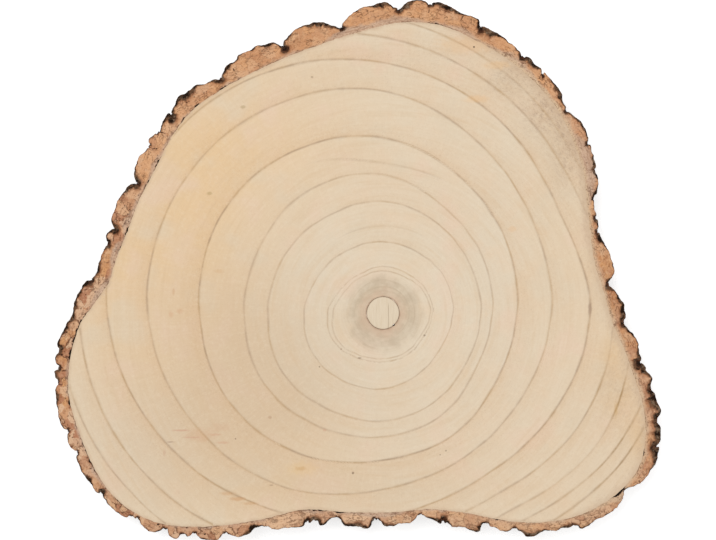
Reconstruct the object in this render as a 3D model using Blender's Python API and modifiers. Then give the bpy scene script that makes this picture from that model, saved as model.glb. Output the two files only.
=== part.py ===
"""A slice sawn across a paulownia trunk, with its bark on.

Three pieces: the disc of wood with its growth rings, the ring of bark around it, and the
round wooden plug that fills the hollow pith. The slice lies on its lower sawn face.

The outlines are in millimetres from the middle of the pith, seen from above and counted
counter-clockwise from +X. The finished slice is moved so that the origin lies on the
surface that it rests on, under the middle of its box. +Z is up, along the trunk.
"""

import math

import bmesh
import bpy
from mathutils import Vector, noise

MM = 0.001

# Driving dimensions, in millimetres
THICKNESS = 28.0
PLUG_RADIUS = 8.2
PLUG_FACES = 48
PLUG_EDGE = 0.4
GAP = 0.3

# Growth rings are worn a little lower than the wood between them
GROOVE_DEPTH = 0.45
GROOVE_LIFT = 0.06
RING_DIRECTIONS = 12
RING_POINT_SPACING = 7.0
RING_POINTS_LEAST = 44
RING_POINTS_MOST = 78

# Radius of each growth ring every 30 degrees. Where a ring's radius is past the edge of
# the wood, the trunk didn't grow there in that year, and the ring runs out at the edge.
GROWTH_RINGS = (
    (25.0, 24.5, 23.0, 23.3, 22.7, 24.2, 27.7, 28.4, 26.0, 24.5, 24.2, 23.5),
    (35.0, 35.6, 34.9, 35.6, 36.1, 37.2, 39.5, 40.5, 39.4, 37.9, 35.2, 33.7),
    (49.0, 49.9, 52.5, 55.8, 55.9, 57.0, 57.6, 58.4, 55.5, 54.0, 51.3, 48.5),
    (54.7, 57.3, 61.0, 69.1, 71.7, 70.0, 69.5, 69.2, 65.3, 61.9, 58.8, 54.0),
    (67.0, 71.3, 78.0, 87.6, 92.7, 94.5, 91.8, 88.8, 81.7, 73.6, 70.3, 66.0),
    (84.2, 87.6, 97.3, 111.0, 117.6, 119.5, 117.6, 109.7, 100.3, 88.2, 82.7, 81.3),
    (103.5, 101.9, 113.0, 125.2, 134.8, 138.0, 137.9, 126.9, 113.2, 102.0, 96.0, 98.7),
    (115.5, 113.7, 124.3, 137.9, 150.0, 155.0, 152.5, 145.3, 131.0, 112.5, 107.0, 112.9),
    (124.0, 121.0, 133.2, 148.0, 160.0, 165.0, 163.0, 156.7, 143.0, 122.0, 117.2, 125.7),
    (140.0, 145.0, 155.0, 165.0, 175.0, 175.0, 175.0, 170.0, 160.0, 134.0, 125.0, 134.7),
    (146.0, 150.0, 160.0, 170.0, 180.0, 180.0, 180.0, 175.0, 165.0, 141.0, 132.5, 141.2),
)

# Edge of the wood, under the bark: a smooth closed curve through these points
WOOD_EDGE_STEP = 6.0
WOOD_EDGE = (
    (114.5, -4.5), (110.5, 10.0), (106.0, 24.0), (103.8, 38.0), (102.0, 54.0),
    (100.0, 71.0), (95.0, 86.0), (87.0, 102.0), (75.0, 116.0), (61.0, 127.7),
    (45.5, 136.7), (28.5, 143.7), (8.5, 145.2), (-10.5, 140.7), (-28.5, 135.2),
    (-48.5, 127.7), (-67.0, 119.2), (-82.5, 110.5), (-95.5, 101.0), (-105.0, 89.0),
    (-113.5, 72.5), (-122.0, 56.0), (-128.0, 40.0), (-134.0, 25.0), (-136.7, 16.0),
    (-145.5, 3.0), (-151.0, -5.0), (-156.0, -21.0), (-157.0, -41.0), (-152.0, -59.0),
    (-144.5, -77.0), (-134.5, -91.7), (-119.0, -102.5), (-102.5, -106.5),
    (-81.5, -106.2), (-59.5, -102.7), (-39.5, -98.2), (-19.0, -99.5), (4.5, -99.5),
    (23.5, -98.0), (43.5, -100.2), (63.5, -104.0), (83.5, -104.2), (101.5, -99.7),
    (116.5, -90.5), (127.0, -78.7), (131.0, -64.0), (130.2, -47.5), (125.5, -32.0),
    (120.2, -17.5),
)

# Outside of the bark, one row for each plate: the points over its crest and then the
# floor of the fissure that parts it from the next plate
BARK_STEP = 3.4
BARK_PLATES = (
    ((121.2, -2.5), (121.2, 0.0), (120.2, 2.0)),
    ((120.7, 4.0), (118.5, 7.0), (117.0, 9.7), (114.2, 12.7), (112.0, 13.5)),
    ((113.5, 16.7), (115.5, 20.5), (114.7, 24.7), (113.2, 29.7), (110.5, 34.7),
     (108.7, 38.5), (107.7, 40.1), (106.0, 39.7)),
    ((107.6, 43.0), (107.3, 46.7), (104.7, 46.5)),
    ((106.7, 49.0), (105.2, 53.5), (105.2, 56.5), (104.5, 58.0)),
    ((106.7, 59.7), (107.6, 64.2), (107.0, 68.7), (105.2, 70.7)),
    ((106.5, 73.0), (105.2, 77.5), (104.0, 82.0), (103.0, 84.2), (100.7, 83.7)),
    ((102.6, 86.5), (101.7, 90.7), (99.2, 95.2), (96.0, 98.2), (92.7, 100.5), (90.7, 99.2)),
    ((91.3, 102.5), (89.6, 105.7), (89.0, 109.7), (86.5, 114.0), (83.0, 117.5),
     (80.7, 120.0), (79.2, 116.7)),
    ((79.0, 122.0), (76.5, 123.4), (74.0, 127.0), (71.5, 128.1), (70.0, 126.0)),
    ((69.2, 129.5), (65.5, 133.2), (60.7, 137.2), (57.5, 139.7), (54.7, 141.0),
     (52.2, 142.5), (49.5, 143.1), (48.6, 138.5)),
    ((48.3, 144.0), (47.7, 146.7), (44.5, 148.3), (39.0, 149.7), (34.5, 152.6),
     (29.0, 155.0), (25.0, 155.1), (23.8, 152.0)),
    ((22.0, 155.4), (15.5, 156.3), (12.0, 155.1), (9.2, 152.5), (8.0, 149.0)),
    ((7.0, 152.3), (4.2, 153.3), (2.0, 155.1), (-1.0, 155.4), (-5.0, 153.8), (-10.5, 152.6),
     (-15.0, 150.1), (-18.0, 147.0), (-20.4, 143.7), (-18.7, 140.2)),
    ((-21.7, 142.5), (-25.0, 143.4), (-28.5, 144.8), (-32.5, 145.5), (-37.5, 144.3),
     (-44.0, 141.6), (-47.5, 138.0), (-50.0, 134.4), (-47.7, 130.2)),
    ((-51.2, 133.3), (-56.0, 135.2), (-59.0, 133.5), (-62.5, 133.6), (-67.0, 131.0),
     (-72.0, 128.5), (-73.7, 125.7), (-76.5, 124.6), (-79.2, 122.3), (-80.5, 119.2),
     (-80.7, 115.0)),
    ((-82.5, 117.0), (-84.7, 116.8), (-88.0, 114.7), (-91.0, 114.1), (-93.7, 114.1),
     (-97.0, 111.5), (-102.0, 108.1), (-103.2, 105.0), (-105.5, 101.5), (-105.0, 95.5)),
    ((-106.7, 99.7), (-108.5, 98.5), (-109.5, 95.7), (-111.1, 93.7), (-111.2, 92.0),
     (-112.6, 88.7)),
    ((-113.7, 90.0), (-116.2, 87.5), (-116.9, 85.0), (-115.5, 84.1)),
    ((-118.0, 82.2), (-120.5, 79.0), (-123.2, 75.0), (-124.7, 70.2), (-123.8, 66.0),
     (-119.2, 62.5)),
    ((-125.5, 64.5), (-129.7, 60.7), (-132.5, 56.0), (-134.8, 50.5), (-135.5, 45.2),
     (-134.2, 42.7), (-129.5, 40.2)),
    ((-136.0, 41.5), (-138.1, 38.5), (-137.7, 36.0), (-136.2, 34.7)),
    ((-138.5, 33.5), (-140.5, 28.2), (-142.5, 24.5), (-143.2, 20.0), (-145.5, 16.8),
     (-144.5, 15.0)),
    ((-148.5, 16.0), (-151.0, 12.0), (-153.0, 7.5), (-154.7, 4.0), (-155.0, -0.5),
     (-158.2, -5.7), (-161.0, -11.5), (-163.1, -16.0), (-161.0, -19.2)),
    ((-163.5, -21.5), (-163.0, -25.2), (-160.2, -28.0)),
    ((-164.4, -29.0), (-163.7, -32.2), (-161.5, -34.0)),
    ((-163.8, -37.5), (-163.5, -43.0), (-162.3, -48.5), (-161.5, -54.0), (-159.0, -58.0),
     (-156.0, -57.7)),
    ((-157.7, -61.5), (-157.2, -65.5), (-154.0, -68.2), (-151.2, -69.5)),
    ((-153.6, -72.0), (-151.5, -77.0), (-150.0, -81.0), (-146.5, -84.0), (-144.0, -88.5),
     (-142.0, -90.0), (-140.2, -87.5)),
    ((-140.2, -91.5), (-136.5, -96.5), (-132.0, -100.0), (-128.0, -102.0), (-126.2, -100.5)),
    ((-123.7, -102.7), (-122.5, -101.2)),
    ((-120.5, -106.2), (-117.0, -108.8), (-113.5, -109.1), (-110.0, -107.7), (-108.5, -106.0)),
    ((-107.0, -111.2), (-103.5, -112.5), (-100.7, -109.5)),
    ((-97.5, -111.6), (-94.2, -108.7)),
    ((-92.5, -111.3), (-90.0, -113.1), (-82.0, -113.1), (-79.5, -108.7)),
    ((-77.5, -110.2), (-72.0, -111.8), (-67.0, -110.0), (-63.5, -107.2), (-59.2, -106.0),
     (-53.7, -108.1), (-47.5, -107.2), (-40.0, -106.3), (-38.0, -102.2)),
    ((-36.7, -104.8), (-33.5, -102.2)),
    ((-31.5, -106.0), (-28.5, -105.1), (-27.2, -103.0), (-23.0, -102.0), (-21.5, -101.5)),
    ((-20.5, -104.8), (-19.0, -106.2), (-13.0, -106.6), (-7.5, -107.7), (-6.0, -106.2),
     (-5.7, -103.8), (-4.7, -101.5)),
    ((-3.3, -103.5), (-2.3, -102.1)),
    ((-0.5, -105.0), (1.5, -106.5), (5.0, -106.3), (8.5, -105.0), (13.5, -104.8),
     (16.2, -102.6), (18.0, -99.3)),
    ((19.5, -101.0), (24.0, -102.7), (29.0, -105.0), (30.0, -101.9)),
    ((31.0, -105.0), (32.8, -104.2)),
    ((34.5, -106.8), (40.0, -106.7), (44.0, -108.6), (48.1, -109.1), (48.7, -106.2),
     (52.0, -104.2)),
    ((54.0, -106.5), (56.7, -107.1), (59.0, -108.8), (62.5, -109.0), (66.2, -106.6)),
    ((67.5, -108.6), (70.7, -109.7), (71.5, -111.8), (75.0, -111.7), (81.2, -108.5),
     (86.2, -108.8), (88.0, -107.5), (93.5, -107.2), (96.7, -105.2)),
    ((98.5, -107.5), (103.0, -106.2), (104.7, -104.0), (110.0, -101.7), (116.0, -98.0),
     (118.5, -95.0), (120.5, -90.0), (119.7, -88.2)),
    ((121.2, -87.8), (125.5, -86.5), (129.5, -84.2), (133.5, -79.0), (136.7, -74.5),
     (137.6, -69.5), (137.9, -67.1), (134.0, -68.0)),
    ((138.0, -65.2), (139.1, -60.5), (138.5, -56.7), (136.2, -53.3)),
    ((138.5, -51.0), (138.9, -48.2), (137.0, -44.7), (136.2, -41.0), (134.5, -38.8),
     (133.2, -38.0)),
    ((133.8, -35.7), (134.7, -32.7), (132.7, -30.5), (131.1, -29.2), (131.5, -27.5),
     (129.2, -25.3), (126.5, -26.5)),
    ((129.0, -23.7), (127.8, -19.0), (127.4, -14.5), (125.0, -10.5), (122.0, -7.8),
     (120.8, -6.0), (119.5, -4.0)),
)

# The bark's outside below the upper face: the fissures wander and the plates are uneven
BARK_LEVELS = (3.0, 8.5, 14.0, 19.5, 25.0)
BARK_LEAST_THICKNESS = 0.9
BARK_FREE_THICKNESS = 7.0
DRIFT = 2.6
DRIFT_LENGTH = 45.0
DRIFT_APART = Vector((0.0, 0.0, 7.5))
RELIEF = 2.4
RELIEF_LENGTH = 8.0
RELIEF_HEIGHT = 11.0
RELIEF_ONSET = 3.0

# Edges sharper than these aren't shaded smooth
WOOD_SHARP_ANGLE = math.radians(20)
BARK_SHARP_ANGLE = math.radians(40)
PLUG_SHARP_ANGLE = math.radians(50)

# Corners closer than this, in metres, are one corner
MERGE_DISTANCE = 1e-6

# A face whose normal rises less than this is an upright one
UPRIGHT = 0.5


def clear_scene():
    for old in list(bpy.data.objects):
        bpy.data.objects.remove(old, do_unlink=True)


def new_collection(name):
    collection = bpy.data.collections.new(name)
    bpy.context.scene.collection.children.link(collection)
    return collection


def principled(name, colour, roughness):
    material = bpy.data.materials.new(name)
    material.use_nodes = True
    shader = material.node_tree.nodes["Principled BSDF"]
    shader.inputs["Base Color"].default_value = (*colour, 1.0)
    shader.inputs["Roughness"].default_value = roughness
    shader.inputs["Metallic"].default_value = 0.0
    return material


def spline_span(before, start, end, after, count):
    """Points from start up to end, on the centripetal curve through all four points."""
    t1 = math.sqrt((start - before).length)
    t2 = t1 + math.sqrt((end - start).length)
    t3 = t2 + math.sqrt((after - end).length)
    points = []
    for i in range(count):
        t = t1 + (t2 - t1) * i / count
        first = before.lerp(start, t / t1)
        second = start.lerp(end, (t - t1) / (t2 - t1))
        third = end.lerp(after, (t - t2) / (t3 - t2))
        low = first.lerp(second, t / t2)
        high = second.lerp(third, (t - t1) / (t3 - t1))
        points.append(low.lerp(high, (t - t1) / (t2 - t1)))
    return points


def open_curve(points, step):
    """A smooth curve through the points, without its last one."""
    corners = [2 * points[0] - points[1], *points, 2 * points[-1] - points[-2]]
    curve = []
    for i in range(1, len(corners) - 2):
        count = max(1, round((corners[i + 1] - corners[i]).length / step))
        curve += spline_span(*corners[i - 1:i + 3], count)
    return curve


def closed_curve(points, step):
    """A smooth curve through the points and back to the first."""
    corners = [points[-1], *points, points[0], points[1]]
    curve = []
    for i in range(1, len(corners) - 2):
        count = max(1, round((corners[i + 1] - corners[i]).length / step))
        curve += spline_span(*corners[i - 1:i + 3], count)
    return curve


def circle(radius, count):
    turns = [math.tau * i / count for i in range(count)]
    return [Vector((radius * math.cos(turn), radius * math.sin(turn))) for turn in turns]


def grown(loop, distance):
    """The loop moved outwards by a distance."""
    moved = []
    for i, point in enumerate(loop):
        along = loop[(i + 1) % len(loop)] - loop[i - 1]
        outward = Vector((along.y, -along.x)).normalized()
        moved.append(point + outward * distance)
    return moved


def wood_edge():
    return closed_curve([Vector(point) for point in WOOD_EDGE], WOOD_EDGE_STEP)


def nearest_on_loop(point, loop):
    """The point of a closed loop that is nearest to a point."""
    best = None
    for a, b in zip(loop, loop[1:] + loop[:1]):
        side = b - a
        share = max(0.0, min(1.0, (point - a).dot(side) / side.length_squared))
        candidate = a + side * share
        if best is None or (point - candidate).length < (point - best).length:
            best = candidate
    return best


def bark_outline():
    outline = []
    floor = Vector(BARK_PLATES[-1][-1])
    for plate in BARK_PLATES:
        points = [floor] + [Vector(point) for point in plate]
        outline += open_curve(points, BARK_STEP)
        floor = points[-1]
    return outline


def ring_radius(radii, turn):
    """Radius of a growth ring at an angle, smooth between its measured radii."""
    place = (turn / math.tau * RING_DIRECTIONS) % RING_DIRECTIONS
    i = int(place)
    share = place - i
    a, b, c, d = (radii[(i + k) % RING_DIRECTIONS] for k in (-1, 0, 1, 2))
    slope_b = (c - a) / 2
    slope_c = (d - b) / 2
    lift = (2 * share ** 3 - 3 * share ** 2 + 1) * b + (3 * share ** 2 - 2 * share ** 3) * c
    bend = (share ** 3 - 2 * share ** 2 + share) * slope_b + (share ** 3 - share ** 2) * slope_c
    return lift + bend


def ring_loop(radii):
    length = math.tau * sum(radii) / len(radii)
    count = round(length / RING_POINT_SPACING)
    count = max(RING_POINTS_LEAST, min(RING_POINTS_MOST, count))
    loop = []
    for i in range(count):
        turn = math.tau * i / count
        radius = ring_radius(radii, turn)
        loop.append(Vector((radius * math.cos(turn), radius * math.sin(turn))))
    return loop


def mesh_from_curve(curve, name, collection):
    """Turns a curve into a welded mesh object of the same shape."""
    source = bpy.data.objects.new(name + "_curve", curve)
    collection.objects.link(source)
    bpy.context.view_layer.update()
    evaluated = source.evaluated_get(bpy.context.evaluated_depsgraph_get())
    mesh = bpy.data.meshes.new_from_object(evaluated)
    bpy.data.objects.remove(source)
    bpy.data.curves.remove(curve)
    mesh.name = name
    shape = bmesh.new()
    shape.from_mesh(mesh)
    bmesh.ops.remove_doubles(shape, verts=shape.verts, dist=MERGE_DISTANCE)
    bmesh.ops.recalc_face_normals(shape, faces=shape.faces)
    shape.to_mesh(mesh)
    shape.free()
    made = bpy.data.objects.new(name, mesh)
    collection.objects.link(made)
    return made


def add_closed_spline(curve, loop, height):
    spline = curve.splines.new("POLY")
    spline.points.add(len(loop) - 1)
    for point, place in zip(spline.points, loop):
        point.co = (place.x * MM, place.y * MM, height * MM, 1.0)
    spline.use_cyclic_u = True


def sawn_plate(name, loops, collection):
    """A flat plate of the slice's thickness inside the first loop, open inside the rest."""
    curve = bpy.data.curves.new(name, "CURVE")
    curve.dimensions = "2D"
    curve.fill_mode = "BOTH"
    curve.extrude = THICKNESS * MM / 2
    for loop in loops:
        add_closed_spline(curve, loop, 0.0)
    plate = mesh_from_curve(curve, name, collection)
    for vertex in plate.data.vertices:
        vertex.co.z += THICKNESS * MM / 2
    return plate


def growth_ring_cutter(number, radii, height, collection):
    """A slim four-sided tube along a growth ring, which cuts its groove."""
    curve = bpy.data.curves.new("groove", "CURVE")
    curve.dimensions = "3D"
    curve.bevel_depth = GROOVE_DEPTH * MM
    curve.bevel_resolution = 0
    add_closed_spline(curve, ring_loop(radii), height)
    cutter = mesh_from_curve(curve, f"groove_cutter_{number}", collection)
    cutter.hide_render = True
    cutter.display_type = "WIRE"


def finish(piece, material, sharp_angle):
    piece.data.materials.clear()
    piece.data.materials.append(material)
    piece.data.shade_smooth()
    piece.data.set_sharp_from_angle(angle=sharp_angle)


def make_wood(slice_parts, cutters):
    hole = circle(PLUG_RADIUS + GAP, PLUG_FACES)
    wood = sawn_plate("wood", (wood_edge(), hole), slice_parts)
    for number, radii in enumerate(GROWTH_RINGS, start=1):
        growth_ring_cutter(f"{number}_upper", radii, THICKNESS + GROOVE_LIFT, cutters)
        growth_ring_cutter(f"{number}_lower", radii, -GROOVE_LIFT, cutters)
    cut = wood.modifiers.new("growth_rings", "BOOLEAN")
    cut.operation = "DIFFERENCE"
    cut.operand_type = "COLLECTION"
    cut.collection = cutters
    cut.solver = "EXACT"
    finish(wood, principled("wood", (0.77, 0.63, 0.45), 0.72), WOOD_SHARP_ANGLE)
    return wood


def bark_shift(place, height, edge):
    """Where a point on the bark's outside lies at a height, in millimetres."""
    depth = 1.0 - height / THICKNESS
    foot = nearest_on_loop(place, edge)
    out = place - foot
    free = (out.length - GAP - BARK_LEAST_THICKNESS) / BARK_FREE_THICKNESS
    free = max(0.0, min(1.0, free))
    sample = Vector((place.x, place.y, 0.0)) / DRIFT_LENGTH
    wander = Vector((noise.noise(sample), noise.noise(sample + DRIFT_APART))) * DRIFT * depth
    rough = Vector((place.x / RELIEF_LENGTH, place.y / RELIEF_LENGTH, height / RELIEF_HEIGHT))
    lift = noise.noise(rough) * RELIEF * min(1.0, RELIEF_ONSET * depth)
    return place + (wander + out.normalized() * lift) * free


def is_inside_wall(vertex, edge):
    place = vertex.co.xy / MM
    return (place - nearest_on_loop(place, edge)).length < 2 * GAP


def outer_wall(shape, edge):
    """The upright faces round the outside of the bark, with their edges and corners."""
    wall = [face for face in shape.faces
            if abs(face.normal.z) < UPRIGHT and not is_inside_wall(face.verts[0], edge)]
    return list({item for face in wall for item in (face, *face.edges, *face.verts)})


def refill_underside(shape):
    """Fills the bark's lower sawn face again, after its outline has moved."""
    underside = [face for face in shape.faces
                 if all(vertex.co.z < MERGE_DISTANCE for vertex in face.verts)]
    bmesh.ops.delete(shape, geom=underside, context="FACES")
    rim = [edge for edge in shape.edges if edge.is_boundary]
    bmesh.ops.triangle_fill(shape, edges=rim, use_beauty=True, normal=(0.0, 0.0, -1.0))


def make_bark(slice_parts):
    edge = wood_edge()
    bark = sawn_plate("bark", (bark_outline(), grown(edge, GAP)), slice_parts)
    shape = bmesh.new()
    shape.from_mesh(bark.data)
    for level in BARK_LEVELS:
        bmesh.ops.bisect_plane(
            shape, geom=outer_wall(shape, edge), dist=MERGE_DISTANCE,
            plane_co=(0.0, 0.0, level * MM), plane_no=(0.0, 0.0, 1.0))
    for vertex in shape.verts:
        if not is_inside_wall(vertex, edge):
            vertex.co.xy = bark_shift(vertex.co.xy / MM, vertex.co.z / MM, edge) * MM
    refill_underside(shape)
    shape.to_mesh(bark.data)
    shape.free()
    finish(bark, principled("bark", (0.22, 0.14, 0.09), 0.9), BARK_SHARP_ANGLE)
    return bark


def make_plug(slice_parts):
    """The round plug in the pith, with its edges eased."""
    mesh = bpy.data.meshes.new("pith_plug")
    shape = bmesh.new()
    bmesh.ops.create_cone(
        shape, cap_ends=True, segments=PLUG_FACES, depth=THICKNESS * MM,
        radius1=PLUG_RADIUS * MM, radius2=PLUG_RADIUS * MM)
    bmesh.ops.translate(shape, verts=shape.verts, vec=(0.0, 0.0, THICKNESS * MM / 2))
    shape.to_mesh(mesh)
    shape.free()
    plug = bpy.data.objects.new("pith_plug", mesh)
    slice_parts.objects.link(plug)
    ease = plug.modifiers.new("eased_edges", "BEVEL")
    ease.width = PLUG_EDGE * MM
    ease.segments = 1
    ease.limit_method = "ANGLE"
    finish(plug, principled("pith_plug", (0.83, 0.72, 0.55), 0.7), PLUG_SHARP_ANGLE)
    return plug


def centre_on_box(pieces, outermost):
    """Moves all pieces so that the origin is under the middle of the outermost piece."""
    places = [vertex.co for vertex in outermost.data.vertices]
    middle_x = (min(p.x for p in places) + max(p.x for p in places)) / 2
    middle_y = (min(p.y for p in places) + max(p.y for p in places)) / 2
    for piece in pieces:
        piece.location = (-middle_x, -middle_y, 0.0)


clear_scene()
parts = new_collection("paulownia_slice")
cutter_parts = new_collection("cutters")
wood_piece = make_wood(parts, cutter_parts)
bark_piece = make_bark(parts)
plug_piece = make_plug(parts)
centre_on_box((wood_piece, bark_piece, plug_piece, *cutter_parts.objects), bark_piece)
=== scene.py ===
import math

import bpy
import numpy as np
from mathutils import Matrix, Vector, noise
from mathutils.geometry import delaunay_2d_cdt


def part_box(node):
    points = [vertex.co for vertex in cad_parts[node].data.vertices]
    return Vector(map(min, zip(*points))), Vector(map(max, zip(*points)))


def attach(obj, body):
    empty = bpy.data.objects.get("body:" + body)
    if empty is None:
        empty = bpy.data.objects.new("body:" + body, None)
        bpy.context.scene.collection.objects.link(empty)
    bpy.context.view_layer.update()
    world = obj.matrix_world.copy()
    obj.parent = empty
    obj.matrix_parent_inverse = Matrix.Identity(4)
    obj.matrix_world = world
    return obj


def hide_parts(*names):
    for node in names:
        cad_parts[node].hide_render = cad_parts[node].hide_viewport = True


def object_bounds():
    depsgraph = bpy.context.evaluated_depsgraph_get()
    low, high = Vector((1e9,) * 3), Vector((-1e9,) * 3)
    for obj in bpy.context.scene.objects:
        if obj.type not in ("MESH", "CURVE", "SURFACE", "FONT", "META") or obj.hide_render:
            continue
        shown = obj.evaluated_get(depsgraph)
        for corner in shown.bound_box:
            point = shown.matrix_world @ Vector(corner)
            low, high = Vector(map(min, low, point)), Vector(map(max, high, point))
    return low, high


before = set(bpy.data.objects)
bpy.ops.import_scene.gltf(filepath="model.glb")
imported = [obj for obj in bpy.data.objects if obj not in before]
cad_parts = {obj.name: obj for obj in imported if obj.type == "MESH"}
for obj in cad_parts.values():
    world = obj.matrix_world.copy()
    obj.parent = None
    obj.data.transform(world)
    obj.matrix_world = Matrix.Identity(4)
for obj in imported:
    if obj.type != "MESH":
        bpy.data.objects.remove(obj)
CAD_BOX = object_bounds()

# A slice sawn across a paulownia trunk, with its bark on. Shapes are worked out in
# millimetres from the middle of the pith, seen from above, and moved to the frame at the
# end. Heights are in millimetres above the surface that the slice lies on.
MM = 0.001
PLUG_LOW, PLUG_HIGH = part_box("pith_plug")
PITH = np.array(((PLUG_LOW.x + PLUG_HIGH.x) / 2, (PLUG_LOW.y + PLUG_HIGH.y) / 2)) / MM
PLUG_RADIUS = (PLUG_HIGH.x - PLUG_LOW.x) / 2 / MM
TOP = round(CAD_BOX[1].z / MM, 3)

# The photograph's frame, as it lies on the upper sawn face
PICTURE_MIDDLE = (-12.5, 21.5)
PICTURE_WIDTH = 358.0
CAMERA_HEIGHT = 1600.0
SENSOR = 36.0

# Growth rings: radius every 30 degrees from +X, and how strongly the ring's line and the
# darker wood outside it show
RINGS = (
    ((23.7, 22.9, 20.9, 21, 21, 21.9, 25, 26.5, 24.3, 22.9, 22.7, 22), 0.62, 0),
    ((25, 24.5, 23, 23.3, 22.7, 24.2, 27.7, 28.4, 26, 24.5, 24.2, 23.5), 0.66, 0),
    ((35, 35.6, 34.9, 35.6, 36.1, 37.2, 39.5, 40.5, 39.4, 37.9, 35.2, 33.7), 0.7, 0.35),
    ((49, 49.9, 52.5, 55.8, 55.9, 57, 57.6, 58.4, 55.5, 54, 51.3, 48.5), 0.7, 0.4),
    ((54.7, 57.3, 61, 69.1, 71.7, 70, 69.5, 69.2, 65.3, 61.9, 58.8, 54), 0.7, 0.5),
    ((67, 71.3, 78, 87.6, 92.7, 94.5, 91.8, 88.8, 81.7, 73.6, 70.3, 66), 1, 1),
    ((84.2, 87.6, 97.3, 111, 117.6, 119.5, 117.6, 109.7, 100.3, 88.2, 82.7, 81.3), 0.8, 0.8),
    ((103.5, 101.9, 113, 125.2, 134.8, 138, 137.9, 126.9, 113.2, 102, 96, 98.7), 1, 1),
    ((115.5, 113.7, 124.3, 137.9, 150, 155, 152.5, 145.3, 131, 112.5, 107, 112.9), 0.85, 0.7),
    ((124, 121, 133.2, 148, 160, 165, 163, 156.7, 143, 122, 117.2, 125.7), 0.8, 0.7),
    ((140, 145, 155, 165, 175, 175, 175, 170, 160, 134, 125, 134.7), 0.8, 0.7),
    ((146, 150, 160, 170, 180, 180, 180, 175, 165, 141, 132.5, 141.2), 0.8, 0.7),
)

# Where the dark outer crust of the bark is thick: x, y, reach along the edge and width
CRUST_PLACES = (
    (-0.8, 154, 4, 2), (11.5, 152.5, 5, 2), (31, 153, 8, 1.6),
    (53.5, 141, 6, 2), (73, 126, 5, 1.8), (88, 110, 5, 1.6),
    (97.5, 93, 10, 0.7), (105.5, 73.5, 4, 1.3), (105.5, 59.5, 3, 1.2),
    (106, 46, 2.5, 1.2), (107.5, 37.5, 4, 1.4), (113.5, 13.5, 2.5, 1.4),
    (119.5, -1, 8, 1.8), (128.5, -26.5, 5, 3), (134.5, -43.5, 7, 3.2),
    (136.5, -59, 9, 2.7), (136, -69.5, 6, 2.4), (93.5, -106, 4, 1.3),
    (74.5, -110, 6, 1.3), (47.5, -107, 3, 1.4), (29, -103, 4, 1.6),
    (2, -105, 3, 1.2), (-13, -106, 8, 1.2), (-34, -104, 6, 1.3),
    (-66, -108, 4, 1.5), (-146, -82, 2.6, 2.6), (-140, -88.5, 2.5, 1.3),
    (-162, -17.5, 3, 1.8), (-159.5, -7, 4, 0.9), (-155, -2.5, 3, 1.6),
    (-154, 3.5, 3, 1.3), (-151, 9, 2.5, 1.8), (-143, 22, 4, 0.9),
    (-137.5, 35, 2.5, 1.2), (-161.5, -30, 3, 1), (-162.5, -42, 3, 1.1),
    (-148, 16, 3.5, 1.8), (-133.5, 41.5, 3.5, 1.8), (-123.5, 63.5, 6, 1.8),
    (-107, 97.5, 4, 1.8), (-99.5, 109.5, 6, 2.4), (-83, 116, 3, 1.4),
    (-78, 122.5, 3, 1.8), (-57, 133.5, 3, 1.4), (-48.5, 132, 3, 1.6),
    (-31.5, 144.5, 7, 1.4),
)

# Where bark and wood have parted: x, y, reach along the seam and width of the gap
OPEN_SEAMS = (
    (-150.5, -4, 4, 0.8), (-153.5, -12, 5, 1), (-156.5, -20.5, 3, 1.1),
    (-127.8, 41, 2.5, 0.9), (-118, 65, 3.5, 0.7), (-113.5, 75.5, 3, 0.7),
    (-100.8, 97.2, 2, 0.8), (-93.3, 103.5, 2, 0.8), (-80, 113, 3, 0.8),
    (-34, -98, 5, 0.6), (-22, -99.5, 3, 0.7), (27, 145, 3, 0.5),
    (117.8, -89.5, 3, 1.6), (129.5, -70, 2, 0.6), (-156.5, -45, 2, 0.8),
    (-149, -68, 5, 0.5), (-145.5, -76, 4, 0.5), (-132.5, -92.5, 1.5, 0.7),
    (-157.3, -37, 4, 0.35), (56.5, -103.5, 1.5, 0.6), (-130.5, 33, 2, 0.6),
)

# Where the pale inner bark is wide: x, y, reach along the seam and width
INNER_PLACES = (
    (-16.5, 140, 12, 2.6), (1, 142.5, 12, 2.4), (41, 140.5, 8, 2.2),
    (96, 99, 8, 3), (103.5, 81.5, 12, 5.5), (106.5, 66.5, 10, 4.5),
    (-141.5, 11.5, 8, 2.4), (-134, 29, 8, 2.4), (-129, 44, 5, 2),
    (118, -92, 8, 2), (-4, -97.5, 12, 1.3), (112, -12, 12, 1.6), (120.5, -36, 9, 2.4),
    (-110, 82, 14, 1.4), (67, 126, 13, 3.2),
)

# Zones of the wood that are warmer, darker or more porous: a level for the whole face, and
# soft blobs with their share, x, y and reach along x and y
ZONES = {
    "warm": (0.1, (
        (0.95, -112, 25, 50, 70), (0.62, -68, 92, 58, 42), (0.45, -60, -80, 50, 35),
        (0.1, 60, -90, 60, 30), (0.25, 95, 20, 30, 60), (-0.3, -118, -62, 34, 26),
        (1.0, 115, -28, 8, 15), (0.7, 121, -48, 8, 12), (0.9, 129, -62, 6, 13),
        (-0.45, 10, 0, 55, 50))),
    "deep": (0.0, (
        (0.8, -60, -46, 44, 34), (0.4, -72, 0, 35, 30), (0.6, -115, -68, 45, 35),
        (0.5, -20, -88, 60, 14), (0.3, -80, -18, 70, 50), (0.4, 66, 113, 11, 10),
        (0.7, 88, 90, 10, 24), (0.4, 116, -30, 9, 16), (0.4, 129, -62, 6, 12))),
    "speckle": (0.0, (
        (0.6, 62, 116, 9, 8), (0.9, 80, 100, 9, 10), (0.7, 92, 84, 7, 20),
        (0.3, 118, -42, 10, 22), (0.12, 25, 128, 50, 9))),
}

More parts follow.
